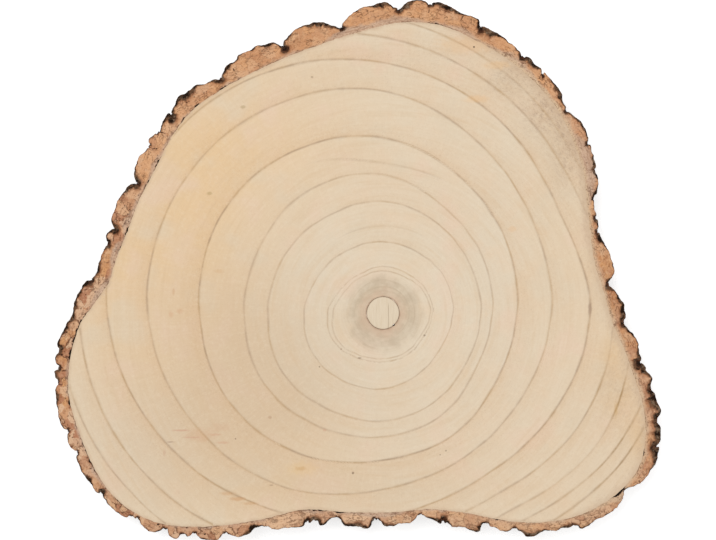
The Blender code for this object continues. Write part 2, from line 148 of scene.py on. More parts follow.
# Small stains, knots and pinholes of the wood: x, y, length along x and along y, strength
# and colour
STAINS = (
    (-41.2, -77.8, 3.2, 1.5, 0.5, 190, 145, 92),
    (-40.5, -78, 9, 4.5, 0.3, 228, 190, 132),
    (-78, -90.3, 4.5, 1.1, 0.4, 204, 158, 112),
    (-72.5, -92.9, 4.5, 1.1, 0.5, 202, 152, 104),
    (-66, -95.2, 4, 1, 0.4, 204, 158, 112),
    (-91, -61, 9, 4, 0.2, 205, 150, 112),
    (-81, -57, 6, 2.5, 0.15, 200, 146, 112),
    (-101, -58.7, 5, 0.6, 0.45, 200, 146, 122),
    (-95.3, -62.2, 5.5, 0.5, 0.35, 200, 150, 126),
    (-106.3, -64.5, 2.4, 0.45, 0.5, 158, 128, 108),
    (-84, -60.8, 4.5, 0.7, 0.35, 204, 152, 122),
    (-80, -64.8, 3.8, 0.7, 0.35, 202, 148, 118),
    (-109.3, -69.8, 0.8, 2.2, 0.35, 196, 156, 130),
    (-73.8, -62.9, 0.5, 0.5, 0.6, 130, 100, 80),
    (-56.5, -52.2, 1.2, 0.9, 0.45, 180, 142, 112),
    (-29.2, -58.5, 1.1, 0.8, 0.35, 205, 152, 122),
    (-55.8, -86.1, 1.1, 0.5, 0.4, 150, 122, 100),
    (28.6, -70.9, 0.5, 0.5, 0.6, 124, 106, 82),
    (31.5, -68.8, 0.5, 0.5, 0.5, 130, 110, 86),
    (-15, -80, 0.8, 0.8, 0.7, 120, 92, 70),
    (-104.7, 10.5, 0.8, 2.6, 0.35, 198, 152, 106),
    (-101.5, 0.9, 2.2, 1.5, 0.3, 204, 152, 112),
    (-106, -0.4, 1.6, 2.2, 0.3, 204, 152, 112),
    (-82, 20.9, 2.8, 1.2, 0.3, 206, 162, 112),
    (103.5, 1.5, 1.2, 4, 0.45, 150, 118, 96),
    (116.5, -48.5, 1.2, 5, 0.35, 200, 160, 100),
    (42, 134, 16, 5, 0.3, 226, 178, 122),
    (46.5, 107, 7, 2.2, 0.35, 234, 188, 134),
    (57, 124, 7.5, 2.5, 0.35, 230, 184, 128),
    (64.5, 42, 2.6, 2, 0.3, 226, 178, 128),
    (45.5, 133, 0.6, 0.6, 0.95, 88, 70, 54),
    (-35.5, 118, 0.9, 0.7, 0.5, 140, 112, 84),
    (-70, 103, 1.6, 1, 0.4, 160, 136, 86),
    (-86.8, 59.9, 1.6, 1.2, 0.45, 166, 140, 84),
    (-11.8, -22.5, 1.2, 0.5, 0.6, 130, 100, 78),
    (-20.9, -18.1, 0.6, 0.6, 0.5, 150, 116, 92),
    (-31.8, -26.9, 0.5, 0.5, 0.6, 120, 96, 72),
    (20.8, -11.2, 0.7, 0.7, 0.6, 120, 100, 78),
)

# The wood's distance from the parting line, and the corners round the line, the bark's
# outside and the hole of the plug
SEAM_GAP = 0.15
SEAM_SAMPLES = 1400
RIM_SAMPLES = 1900
HOLE_SAMPLES = 180
# How many samples on a loop is tested for crossing itself, and how often it is mended
UNTANGLE_REACH = 24
UNTANGLE_ROUNDS = 12

# The stage: half the floor's width, its level below the slice, its grey and its glow, the
# world's light on things, and each light's place, width and power
FLOOR_SIZE = 12.0
FLOOR_LEVEL = -0.0002
FLOOR_GREY = 0.93
FLOOR_GLOW = 0.46
WORLD_LIGHT = 0.52
LIGHTS = {"key": ((-0.5, 0.6, 2.3), 1.2, 21.0), "fill": ((0.7, -0.4, 2.2), 1.6, 10.5)}


# Shared helpers

def srgb(red, green, blue):
    """A colour given as 0 to 255, as the linear colour that shaders use."""
    values = []
    for value in (red, green, blue):
        share = value / 255
        values.append(share / 12.92 if share <= 0.04045 else ((share + 0.055) / 1.055) ** 2.4)
    return (*values, 1.0)


def eased(values, low, high):
    """0 up to low, 1 from high on, and a smooth step between."""
    share = np.clip((values - low) / (high - low), 0.0, 1.0)
    return share * share * (3 - 2 * share)


def noise_at(places, length, height_length=None, octaves=1, offset=0.0):
    """Smooth noise at each place, from about -1 to 1."""
    height_length = height_length or length
    scaled = np.empty((len(places), 3))
    scaled[:, :2] = places[:, :2] / length
    scaled[:, 2] = (places[:, 2] / height_length if places.shape[1] > 2 else 0.0)
    scaled += offset
    if octaves == 1:
        return np.array([noise.noise(Vector(row)) for row in scaled])
    return np.array([noise.fractal(Vector(row), 0.8, 2.1, octaves) for row in scaled])


def loop_area(loop):
    after = np.roll(loop, -1, axis=0)
    return float((loop[:, 0] * after[:, 1] - after[:, 0] * loop[:, 1]).sum() / 2)


def solid_outlines(node):
    """The closed outlines of a CAD node at each height: {height: loops, largest first}."""
    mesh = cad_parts[node].data
    places = np.zeros(len(mesh.vertices) * 3, np.float32)
    mesh.vertices.foreach_get("co", places)
    places = np.round(places.reshape(-1, 3).astype(float) / MM, 3)
    corners, index = np.unique(places, axis=0, return_inverse=True)
    index = index.ravel()
    level_faces = {}
    for face in mesh.polygons:
        ids = [int(index[v]) for v in face.vertices]
        is_level = len({corners[i][2] for i in ids}) == 1
        for a, b in zip(ids, ids[1:] + ids[:1]):
            if corners[a][2] == corners[b][2]:
                key = (min(a, b), max(a, b))
                level_faces[key] = level_faces.get(key, 0) + is_level
    beside = {}
    for a, b in sorted(level_faces):
        if level_faces[(a, b)] < 2:
            beside.setdefault(a, []).append(b)
            beside.setdefault(b, []).append(a)
    found, left = {}, set(beside)
    while left:
        start = min(left)
        loop, here = [start], beside[start][0]
        left.discard(start)
        while here != start:
            left.discard(here)
            loop.append(here)
            ahead = [n for n in beside[here] if n in left]
            here = ahead[0] if ahead else start
        places = corners[loop][:, :2] - PITH
        if loop_area(places) < 0:
            places = places[::-1]
        found.setdefault(float(corners[start][2]), []).append(places)
    for loops in found.values():
        loops.sort(key=lambda loop: -abs(loop_area(loop)))
    return found


def under(loop, above):
    """The loop, counted from the corner that lies under the first corner of the one above."""
    shifts = [((np.roll(loop, -k, axis=0) - above) ** 2).sum() for k in range(len(loop))]
    return np.roll(loop, -int(np.argmin(shifts)), axis=0)


def sampled(loops, count):
    """Places evenly spaced along the first of several matching loops, on smooth curves."""
    first = loops[0]
    spans = np.linalg.norm(np.roll(first, -1, axis=0) - first, axis=1)
    starts = np.concatenate(([0.0], np.cumsum(spans)))
    along = np.linspace(0.0, starts[-1], count, endpoint=False)
    i = np.clip(np.searchsorted(starts, along, side="right") - 1, 0, len(first) - 1)
    share = ((along - starts[i]) / spans[i])[None, :, None]
    before = np.roll(spans, 1)
    slope = ((np.roll(loops, -1, axis=1) - np.roll(loops, 1, axis=1))
             / (spans + before)[None, :, None])
    following = (i + 1) % len(first)
    reach = spans[i][None, :, None]
    a, b = loops[:, i], loops[:, following]
    slope_a, slope_b = slope[:, i] * reach, slope[:, following] * reach
    return ((2 * share ** 3 - 3 * share ** 2 + 1) * a
            + (share ** 3 - 2 * share ** 2 + share) * slope_a
            + (3 * share ** 2 - 2 * share ** 3) * b + (share ** 3 - share ** 2) * slope_b)


def outward(loop, spread=2):
    """The outward direction at each place of a counter-clockwise loop."""
    along = np.roll(loop, -spread, axis=0) - np.roll(loop, spread, axis=0)
    across = np.stack((along[:, 1], -along[:, 0]), axis=1)
    return across / np.linalg.norm(across, axis=1)[:, None]


def crossed(loop, reach):
    """Pairs (number, steps) of a loop's segments that cross another one so many steps on."""
    def side(a, b, c):
        return (b[:, 0] - a[:, 0]) * (c[:, 1] - a[:, 1]) - (b[:, 1] - a[:, 1]) * (c[:, 0] - a[:, 0])

    found = []
    a, b = loop, np.roll(loop, -1, axis=0)
    for steps in range(2, reach):
        c, d = np.roll(a, -steps, axis=0), np.roll(b, -steps, axis=0)
        meets = (side(a, b, c) * side(a, b, d) < 0) & (side(c, d, a) * side(c, d, b) < 0)
        found += [(int(i), steps) for i in np.nonzero(meets)[0]]
    return found


def untangled(loop):
    """The loop, with a straight piece wherever a short part of it crossed itself."""
    loop = loop.copy()
    for widen in range(UNTANGLE_ROUNDS):
        found = crossed(loop, UNTANGLE_REACH)
        if not found:
            break
        for i, steps in found:
            first, last = i - widen, i + steps + 1 + widen
            numbers = np.arange(first, last + 1) % len(loop)
            share = np.linspace(0.0, 1.0, len(numbers))[:, None]
            loop[numbers] = loop[numbers[0]] * (1 - share) + loop[numbers[-1]] * share
    return loop


def distances(points, loop):
    """Distance from each point to a closed loop, and the nearest place's number in it."""
    best = np.full(len(points), 1e18)
    number = np.zeros(len(points), int)
    for first in range(0, len(loop), 100):
        part = loop[first:first + 100]
        gaps = ((points[:, None, :] - part[None, :, :]) ** 2).sum(2)
        nearest = gaps.argmin(1)
        value = gaps[np.arange(len(points)), nearest]
        closer = value < best
        best[closer] = value[closer]
        number[closer] = nearest[closer] + first
    result = np.sqrt(best)
    for step in (-1, 1):
        a, b = loop[number], loop[(number + step) % len(loop)]
        side = b - a
        share = ((points - a) * side).sum(1) / np.maximum((side ** 2).sum(1), 1e-12)
        foot = a + side * np.clip(share, 0.0, 1.0)[:, None]
        result = np.minimum(result, np.linalg.norm(points - foot, axis=1))
    return result, number


def inside(points, loop):
    """Which of the points lie inside a closed loop."""
    x, y = points[:, 0], points[:, 1]
    result = np.zeros(len(points), bool)
    for (ax, ay), (bx, by) in zip(loop, np.roll(loop, -1, axis=0)):
        if ay != by:
            crosses = (ay > y) != (by > y)
            result ^= crosses & (x < (bx - ax) * (y - ay) / (by - ay) + ax)
    return result


def scattered(loop, spacing):
    """Places over a loop's box, in staggered rows that are a little uneven."""
    low, high = loop.min(0), loop.max(0)
    rows = np.arange(low[1], high[1], spacing * math.sqrt(3) / 2)
    columns = np.arange(low[0], high[0], spacing)
    x = np.tile(columns, (len(rows), 1)) + (np.arange(len(rows)) % 2)[:, None] * spacing / 2
    y = np.repeat(rows[:, None], len(columns), axis=1)
    draws = np.random.default_rng(7).uniform(-0.22, 0.22, (2, *x.shape)) * spacing
    return np.stack(((x + draws[0]).ravel(), (y + draws[1]).ravel()), axis=1)


def placed(name, data):
    """A new object in the scene."""
    made = bpy.data.objects.new(name, data)
    bpy.context.scene.collection.objects.link(made)
    return made


class Shape:
    """Corners, faces and the numbers that the material reads at each corner."""

    def __init__(self, *names):
        self.places, self.faces = [], []
        self.numbers = {name: [] for name in names}
        self.count = 0

    def add(self, plan, heights, **numbers):
        """Adds corners at places on the plan, and gives how they are counted."""
        start = self.count
        places = np.column_stack((plan, np.broadcast_to(heights, (len(plan),))))
        self.places.append(places)
        for name, values in self.numbers.items():
            given = numbers.get(name, 0.0)
            values.append(np.broadcast_to(np.asarray(given, float), (len(places),)))
        self.count += len(places)
        return np.arange(start, self.count)

    def wall(self, upper, lower):
        """Faces between two rows of corners that go round counter-clockwise."""
        upper_next, lower_next = np.roll(upper, -1), np.roll(lower, -1)
        self.faces += np.stack((upper, lower, lower_next, upper_next), axis=1).tolist()

    def flat(self, corners, loops, faces_up):
        """Triangles over all corners that lie between the first loop and the others."""
        places = np.concatenate(self.places)[corners][:, :2]
        order = {int(number): i for i, number in enumerate(corners)}
        edges = []
        for loop in loops:
            ids = [order[int(number)] for number in loop]
            edges += list(zip(ids, ids[1:] + ids[:1]))
        made = delaunay_2d_cdt([Vector(p) for p in places], edges, [], 0, 1e-7, True)
        spots, _, triangles, origins = made[:4]
        spots, triangles = np.array(spots), np.array(triangles)
        middles = spots[triangles].mean(1)
        wanted = inside(middles, places[[order[int(number)] for number in loops[0]]])
        for loop in loops[1:]:
            wanted &= ~inside(middles, places[[order[int(number)] for number in loop]])
        sides = spots[triangles[:, 1:]] - spots[triangles[:, :1]]
        is_up = sides[:, 0, 0] * sides[:, 1, 1] > sides[:, 0, 1] * sides[:, 1, 0]
        for triangle, up in zip(triangles[wanted].tolist(), is_up[wanted]):
            if all(origins[i] for i in triangle):
                ids = [int(corners[origins[i][0]]) for i in triangle]
                self.faces.append(ids if up == faces_up else ids[::-1])

    def piece(self, name, material, sharp_angle):
        places = np.concatenate(self.places)
        places[:, :2] += PITH
        mesh = bpy.data.meshes.new(name)
        mesh.from_pydata((places * MM).tolist(), [], self.faces)
        for key, values in self.numbers.items():
            mesh.attributes.new(key, "FLOAT", "POINT").data.foreach_set(
                "value", np.concatenate(values).astype(np.float32))
        mesh.materials.append(material)
        mesh.shade_smooth()
        mesh.set_sharp_from_angle(angle=math.radians(sharp_angle))
        return placed(name, mesh)


class Value:
    """A node's output, with which a material's sums are written."""

    def __init__(self, nodes, socket):
        self.nodes, self.socket = nodes, socket

    def __add__(self, other):
        return self.nodes.math("ADD", self, other)

    def __sub__(self, other):
        return self.nodes.math("SUBTRACT", self, other)

    def __rsub__(self, other):
        return self.nodes.math("SUBTRACT", other, self)

    def __mul__(self, other):
        return self.nodes.math("MULTIPLY", self, other)

    def __truediv__(self, other):
        return self.nodes.math("DIVIDE", self, other)

    def step(self, low, high, start=0.0, end=1.0):
        """From start to end in a smooth step, while this value goes from low to high."""
        return self.nodes.node("ShaderNodeMapRange", {
            "Value": self, "From Min": low, "From Max": high, "To Min": start, "To Max": end,
        }, interpolation_type="SMOOTHSTEP")


class Paint:
    """A colour under coats of others. Each is given as 0 to 255, or as a Paint."""

    def __init__(self, nodes, *colour):
        self.nodes, self.value = nodes, self.read(colour)

    def read(self, colour):
        return colour[0].value if len(colour) == 1 else srgb(*colour)

    def coat(self, share, *colour):
        made = self.nodes.tree.nodes.new("ShaderNodeMix")
        made.data_type, made.clamp_factor = "RGBA", True
        for number, value in ((0, share), (6, self.value), (7, self.read(colour))):
            self.nodes.put(made.inputs[number], value)
        self.value = made.outputs[2]


class Nodes:
    """A material and the nodes that make its colour, roughness and bump."""

    def __init__(self, name):
        self.material = bpy.data.materials.new(name)
        self.material.use_nodes = True
        self.tree = self.material.node_tree
        self.shader = self.tree.nodes["Principled BSDF"]
        # Millimetres from the pith, and heights in millimetres
        where = self.node("ShaderNodeTexCoord", output="Object")
        moved = self.vector("SUBTRACT", where, (PITH[0] * MM, PITH[1] * MM, 0))
        self.place = self.scaled(moved, 1 / MM)

    def put(self, socket, value):
        if isinstance(value, Value):
            value = value.socket
        if isinstance(value, bpy.types.NodeSocket):
            self.tree.links.new(value, socket)
        else:
            socket.default_value = value

    def node(self, kind, inputs=(), output=0, **settings):
        made = self.tree.nodes.new(kind)
        for key, value in settings.items():
            setattr(made, key, value)
        for key, value in dict(inputs).items():
            self.put(made.inputs[key], value)
        return Value(self, made.outputs[output])

    def paint(self, *colour):
        return Paint(self, *colour)

    def number(self, name):
        """A number that the mesh has at its corners."""
        return self.node("ShaderNodeAttribute", output="Fac", attribute_name=name)

    def math(self, operation, a, b=0.0, clamp=False):
        return self.node("ShaderNodeMath", {0: a, 1: b}, operation=operation, use_clamp=clamp)

    def vector(self, operation, a, b=(0, 0, 0), output=0):
        return self.node("ShaderNodeVectorMath", {0: a, 1: b}, output, operation=operation)

    def scaled(self, a, scale):
        return self.node("ShaderNodeVectorMath", {0: a, "Scale": scale}, operation="SCALE")

    def split(self, vector):
        """The three parts of a vector or a colour."""
        made = self.tree.nodes.new("ShaderNodeSeparateXYZ")
        self.put(made.inputs[0], vector)
        return [Value(self, socket) for socket in made.outputs]

    def noise(self, size, detail=3.0, roughness=0.55, w=None, at=None, output=0):
        """Noise from 0 to 1 whose lumps are about so many millimetres wide."""
        inputs = {"Vector": at or self.place, "Scale": 1 / size, "Detail": detail,
                  "Roughness": roughness}
        if w is not None:
            inputs["W"] = w
        return self.node("ShaderNodeTexNoise", inputs, output,
                         noise_dimensions="3D" if w is None else "4D")

    def cells(self, place, size, feature="F1", output="Distance"):
        """Distance in a pattern of cells that are about so many millimetres wide."""
        return self.node("ShaderNodeTexVoronoi", {"Vector": place, "Scale": 1 / size},
                         output, feature=feature)

    def finish(self, colour, roughness, specular, height, distance, strength):
        """Connects the shader, and gives the material."""
        normal = self.node("ShaderNodeBump", {"Height": height, "Distance": distance,
                                              "Strength": strength})
        for key, value in (("Base Color", colour.value), ("Roughness", roughness),
                           ("Specular IOR Level", specular), ("Normal", normal)):
            self.put(self.shader.inputs[key], value)
        return self.material


def soft_boundary(n, x, y):
    """Towards 1 at the right and upper right, where bark and wood blend into each other."""
    upper_right = x.step(30, 70) * y.step(10, 45)
    return n.math("MAXIMUM", upper_right, x.step(90, 108, 0, 0.6))


# Materials

# How much light glances off, and how deep the bumps of the materials are, in metres
WOOD_SPECULAR, BARK_SPECULAR = 0.25, 0.04
GRAIN_BUMP, BARK_BUMP = 0.00012, 0.0004


def wood_material():
    n = Nodes("paulownia_end_grain")
    x, y, _ = n.split(n.place)
    flat = n.node("ShaderNodeCombineXYZ", {0: x, 1: y})
    radius = n.vector("LENGTH", flat, output="Value")
    direction = n.vector("NORMALIZE", flat)
    warm, since, until = n.number("warm"), n.number("since"), n.number("until")
    strength, band = n.number("strength"), n.number("band")
    soft = soft_boundary(n, x, y)
    margin = soft * n.number("rim").step(0.5, 6, 0.55, 0)
    speckle = n.math("ADD", n.number("speckle"), margin, clamp=True)

    broad = n.noise(42, 3, 0.6)
    cloud = n.noise(11, 4, 0.6)
    colour = n.paint(226, 211, 188)
    colour.coat(warm, 230, 198, 156)
    colour.coat(broad.step(0.38, 0.66, 0, 0.5), 226, 203, 174)
    colour.coat(cloud.step(0.45, 0.75, 0, 0.4), 231, 204, 174)
    tone = n.noise(24, 2, 0.5)
    colour.coat(tone.step(0.52, 0.68, 0, 0.5), 223, 208, 184)
    colour.coat(tone.step(0.46, 0.3, 0, 0.5), 232, 204, 180)
    colour.coat(n.number("deep") * 0.5, 204, 177, 145)

    # Streaks that run along the rings, and rays that run across them
    low = n.scaled(flat, 0.035)
    streaks = n.noise(1, 4, 0.7, w=radius * 0.9, at=low)
    colour.coat(streaks.step(0.3, 0.75, 0, 0.18), 206, 174, 134)
    veins = n.noise(1, 2, 0.6, w=radius * 0.3, at=low)
    colour.coat(veins.step(0.5, 0.7, 0, 0.2), 212, 182, 144)
    fan = n.scaled(direction, 150)
    rays = n.noise(1, 3, 0.7, w=radius * 0.02, at=fan)
    colour.coat(rays.step(0.42, 0.8, 0, 0.16), 238, 220, 192)

    # Earlywood just outside each ring is darker and full of pores
    lively = n.noise(16, 2).step(0.25, 0.7, 0.55, 1)
    colour.coat(band * lively * 0.36, 211, 171, 127)
    pore = n.cells(flat, 0.85).step(0.16, 0.34, 1, 0)
    amount = band * 0.14 + (speckle * 0.2 + 0.03)
    blotch = n.noise(3.4, 4, 0.7).step(0.34, 0.62, 0.25, 1)
    colour.coat(speckle * blotch * 0.75, 200, 172, 143)
    curls = n.noise(1, 4, 0.7, w=radius * 0.8, at=n.scaled(flat, 0.4))
    colour.coat(speckle * curls.step(0.5, 0.62, 0, 0.6), 172, 146, 124)
    colour.coat(speckle * curls.step(0.44, 0.34, 0, 0.5), 226, 196, 160)
    colour.coat(pore * amount, 150, 118, 90)
    mottle = n.noise(1.6, 3, 0.7)
    colour.coat(mottle.step(0.52, 0.66) * (speckle * 0.2 + 0.03), 164, 140, 118)
    fuzz = n.number("rim") + (mottle - 0.5) * 4
    fuzz = fuzz + (n.noise(9, 2) - 0.5) * 3
    fuzz = fuzz / (soft * 2.8 + 1.7)
    colour.coat(fuzz.step(-0.1, 1, 0.66, 0), 204, 176, 146)
    colour.coat(mottle.step(0.5, 0.34) * 0.14, 240, 225, 200)

    # The ring lines themselves
    wander = (n.noise(2.2, 3) - 0.5) * 0.35
    spread = radius.step(28, 75, 0.5, 0.86)
    spread = spread * n.noise(22, 2).step(0.35, 0.65, 0.85, 1.3)
    outside = ((since + wander) / spread).step(0.1, 1.1, 1, 0)
    within = ((until + wander) / spread).step(0.05, 1.25, 1, 0)
    core = n.math("MINIMUM", since + wander, until + wander).step(0.05, 0.5, 0.35, 0)
    line = n.math("MAXIMUM", outside, within) + core
    worn = n.noise(6, 3, 0.6).step(0.3, 0.65, 0.45, 1)
    line = line * strength * worn
    line = line * n.noise(30, 2).step(0.34, 0.64, 0.8, 1.15)
    line = line * n.number("rim").step(3, 9, soft.step(0.2, 0.8, 1, 0.45), 1)
    lines = n.paint(160, 133, 108)
    lines.coat(n.noise(18, 2).step(0.42, 0.6), 174, 139, 94)
    golden = x.step(95, 120) * y.step(-20, -48)
    lines.coat(golden * 0.7, 150, 114, 62)
    colour.coat(line * (golden * 0.25 + 0.42), lines)

    # The stained wood round the pith
    near = radius + (n.noise(6, 4, 0.65) - 0.5) * 9
    halo = near.step(13.5, 22, 1, 0) * near.step(7, 11.5, 0.55, 1)
    patch = n.noise(5, 3, 0.6).step(0.32, 0.6, 0.45, 1)
    colour.coat(halo * patch * 0.7, 191, 172, 146)
    colour.coat(halo * streaks.step(0.45, 0.7) * 0.3, 170, 150, 126)
    pink = near.step(9, 14.5, 1, 0) * n.noise(8, 2).step(0.35, 0.6, 0.2, 1)
    colour.coat(pink * 0.4, 210, 174, 146)
    lip = (radius + wander * 2).step(PLUG_RADIUS + 0.2, PLUG_RADIUS + 1, 0.5, 0)
    lip = lip * n.noise(4.5, 2).step(0.38, 0.6, 0.4, 1.1)
    colour.coat(lip, 160, 122, 96)

    # Small stains
    rough = (n.noise(2.5, 3, 0.65) - 0.5) * 1.1
    for across, up, wide, high, share, *tint in STAINS:
        offset = n.vector("SUBTRACT", flat, (across, up, 0))
        offset = n.vector("DIVIDE", offset, (wide, high, 1))
        reach = n.vector("LENGTH", offset, output="Value") + rough
        colour.coat(reach.step(0.35, 1.15, share, 0), *tint)

    height = mottle * 0.6 + streaks * 0.5 + pore * -0.35 + line * -0.5
    roughness = mottle.step(0.3, 0.7, 0.78, 0.66)
    return n.finish(colour, roughness, WOOD_SPECULAR, height, GRAIN_BUMP, 0.6)


def bark_material():
    n = Nodes("paulownia_bark")
    crust, seam = n.number("crust"), n.number("seam")
    dark, relief = n.number("dark"), n.number("relief")

    # The cut face: layers that follow the trunk's round, with corky mottling
    low = n.scaled(n.place, 0.12)
    layers = n.noise(1, 4, 0.65, w=seam * 0.75, at=low)
    fine = n.noise(0.9, 4, 0.65)
    lumps = n.noise(3.2, 3, 0.6)
    patches = n.noise(7.5, 3, 0.6)
    x, y, _ = n.split(n.place)
    cut = n.paint(214, 166, 124)
    cut.coat(layers.step(0.3, 0.7), 188, 128, 86)
    cut.coat(lumps.step(0.48, 0.68, 0, 0.6), 226, 184, 144)
    cut.coat(lumps.step(0.46, 0.3, 0, 0.5), 170, 112, 74)
    cut.coat(patches.step(0.48, 0.64, 0, 0.6), 224, 166, 112)
    cut.coat(patches.step(0.44, 0.3, 0, 0.5), 186, 132, 108)
    cut.coat(n.noise(20, 2, 0.5).step(0.44, 0.62, 0, 0.5), 194, 150, 124)
    cut.coat(y.step(55, 120, 0, 0.6), 222, 166, 120)
    cut.coat(y.step(-70, -98, 0, 0.5), 218, 180, 144)
    cut.coat(x.step(-92, -112, 0, 0.45) * y.step(28, 45), 232, 180, 134)
    bottom = x.step(15, -5) * x.step(-75, -50)
    cut.coat(y.step(-92, -104, 0, 0.55) * bottom, 232, 194, 158)

    # Lumps with a tint of their own, and dark cracks between some of them
    rugged = n.math("MAXIMUM", x.step(-30, -95), y.step(-60, -95, 0, 0.35))
    rugged = rugged * y.step(80, 35, 0.3, 1)
    bend = n.vector("SUBTRACT", n.noise(3.5, 2, 0.5, output="Color"), (0.5, 0.5, 0.5))
    bent = n.vector("ADD", n.place, n.scaled(bend, 5))
    tints = n.split(n.cells(bent, 5.2, output="Color"))
    lumpy = rugged * 0.6 + 0.25
    cut.coat(tints[0].step(0.45, 0.9) * lumpy, 178, 122, 92)
    cut.coat(tints[1].step(0.5, 0.95) * lumpy, 222, 184, 150)
    cracks = n.cells(bent, 5.2, feature="DISTANCE_TO_EDGE")
    torn = n.noise(6, 2).step(0.44, 0.6)
    crack = cracks.step(0.015, 0.075, 1, 0) * (torn * (rugged * 0.75 + 0.2))
    cut.coat(crack, 92, 52, 34)
    scorched = crust.step(0, 0.5) * n.noise(4, 3).step(0.42, 0.6)
    cut.coat(scorched * (rugged * 0.6 + 0.2), 98, 58, 40)

    grit = n.noise(1, 4, 0.7, w=seam * 1.5, at=low)
    cut.coat(grit.step(0.54, 0.66, 0, 0.4), 164, 108, 74)
    cut.coat(fine.step(0.54, 0.68, 0, 0.5), 138, 88, 60)
    cut.coat(fine.step(0.46, 0.3, 0, 0.3), 234, 202, 168)
    cut.coat(crust.step(0.02, 0.4, 0, 0.5), 154, 98, 66)
    browned = crust + (lumps - 0.5) * 0.8
    cut.coat(browned.step(0.3, 0.52, 0, 0.75), 124, 84, 58)

    # Inner bark next to the wood: pale, greyish pink, finely layered and ragged in its width
    inner = n.noise(1, 4, 0.75, w=seam * 1.9, at=low)
    width = n.number("inner") + n.noise(16, 3, 0.6).step(0.4, 0.7, 0.1, 2)
    width = width + (fine - 0.5) * 3
    phloem = (seam - width).step(-1.2, 0.9, 1, 0)
    pale = n.paint(214, 188, 164)
    pale.coat(inner.step(0.35, 0.65), 178, 146, 124)
    pinkish = y.step(25, 50) * y.step(95, 80)
    woody = x.step(50, 100, 0, 0.55) * (1 - pinkish)
    pale.coat(woody, 222, 190, 154)
    pale.coat(fine.step(0.5, 0.62, 0, 0.5), 146, 112, 92)
    cut.coat(phloem * 0.75, pale)
    depth = seam + (lumps - 0.5) * 5
    soft = soft_boundary(n, x, y)
    merged = soft * depth.step(0, 2.4, 0.85, 0)
    mealy = n.paint(218, 190, 156)
    mealy.coat(fine.step(0.48, 0.62, 0, 0.6), 170, 140, 116)
    cut.coat(merged, mealy)
    parting = (seam + (n.noise(1.6, 3, 0.7) - 0.5) * 1.6).step(0.15, 0.6, 1, 0)
    parting = parting * n.number("inner").step(0.8, 2.6, 1, 0.15)
    parting = parting * soft.step(0.2, 0.9, 1, 0.2)
    cut.coat(parting * n.noise(5.5, 2).step(0.44, 0.6, 0, 0.7), 116, 78, 56)

    # Short dashes along the layers, flecks, and thin wavy cracks
    dashes = n.noise(1, 2, 0.5, w=seam * 2.3, at=n.scaled(n.place, 0.42))
    dashes = dashes.step(0.6, 0.7) * n.noise(6, 2).step(0.4, 0.6)
    marked = rugged * 0.45 + 0.55
    cut.coat(dashes * 0.7 * marked, 112, 70, 48)
    flecks = n.cells(n.vector("MULTIPLY", n.place, (1, 1, 0.4)), 1.7)
    fleck = flecks.step(0.1, 0.3, 1, 0) * n.noise(4, 2).step(0.5, 0.6)
    cut.coat(fleck * 0.7 * marked, 92, 56, 38)
    waves = n.noise(1, 3, 0.55, w=seam * 0.5, at=n.scaled(n.place, 0.2))
    hair = n.math("ABSOLUTE", waves - 0.5).step(0.004, 0.022, 1, 0)
    hair = hair * n.noise(7, 2).step(0.44, 0.6)
    cut.coat(hair * 0.6, 124, 74, 48)

    # The outer crust
    # Painted shade in the crevices of the outside. The lighter grey on its crests is partly the
    # weathered plates and partly painted highlight.
    crevice_shade = relief.step(-0.85, -0.15, 1, 0)
    crest_grey_and_highlight = relief.step(0.1, 0.75)
    weathered = n.noise(2.4, 5, 0.7)
    skin = n.paint(94, 77, 63)
    skin.coat(weathered.step(0.35, 0.68), 144, 125, 106)
    skin.coat(n.noise(9, 3).step(0.45, 0.65) * 0.4, 112, 76, 52)
    # Painted shade: darker where the relief is low.
    skin.coat(relief.step(0.15, -0.3, 0, 0.5), 74, 58, 47)
    skin.coat(crest_grey_and_highlight * 0.6, 152, 138, 122)
    skin.coat(crevice_shade * 0.85, 46, 36, 30)
    breaks = n.cells(n.vector("MULTIPLY", bent, (1, 1, 0.4)), 5.5, feature="DISTANCE_TO_EDGE")
    breaks = breaks.step(0.012, 0.07, 1, 0) * n.noise(8, 2).step(0.4, 0.6, 0.3, 1)
    skin.coat(breaks * 0.75, 44, 33, 27)
    edge = n.paint(38, 24, 15)
    edge.coat(n.noise(3.5, 3, 0.6).step(0.44, 0.62), 112, 82, 60)
    edge.coat(n.noise(2.6, 3, 0.6).step(0.52, 0.66, 0, 0.75), 142, 118, 96)
    edge.coat(fine.step(0.48, 0.36, 0, 0.6), 30, 20, 14)
    face_up = n.split(n.node("ShaderNodeNewGeometry", output="True Normal"))[2]
    skin.coat(face_up.step(0.35, 0.75), edge)

    ragged = crust + (n.noise(1.3, 4, 0.7) - 0.5) * 0.55
    colour = n.paint(cut)
    colour.coat(ragged.step(0.4, 0.6), skin)
    # Cracks, pits, bridged notches and parted seams: reddish brown, partly the cracks' own colour,
    # and near black, which is painted shade inside them.
    deep = dark + (n.noise(1.4, 3, 0.65) - 0.5) * 1.3
    red = deep.step(0.15, 0.45, 0, 0.65) * face_up.step(0.2, 0.6, 0.35, 1)
    colour.coat(red, 100, 60, 42)
    colour.coat(deep.step(0.4, 0.75, 0, 0.95), 38, 27, 21)

    height = fine * 0.7 + weathered * 0.8
    height = height + n.math("MAXIMUM", n.math("MAXIMUM", fleck, hair), crack) * -0.8
    height = height + breaks * face_up.step(0.6, 0.3) * -0.8
    roughness = weathered.step(0.3, 0.7, 0.95, 0.8)
    return n.finish(colour, roughness, BARK_SPECULAR, height, BARK_BUMP, 0.8)


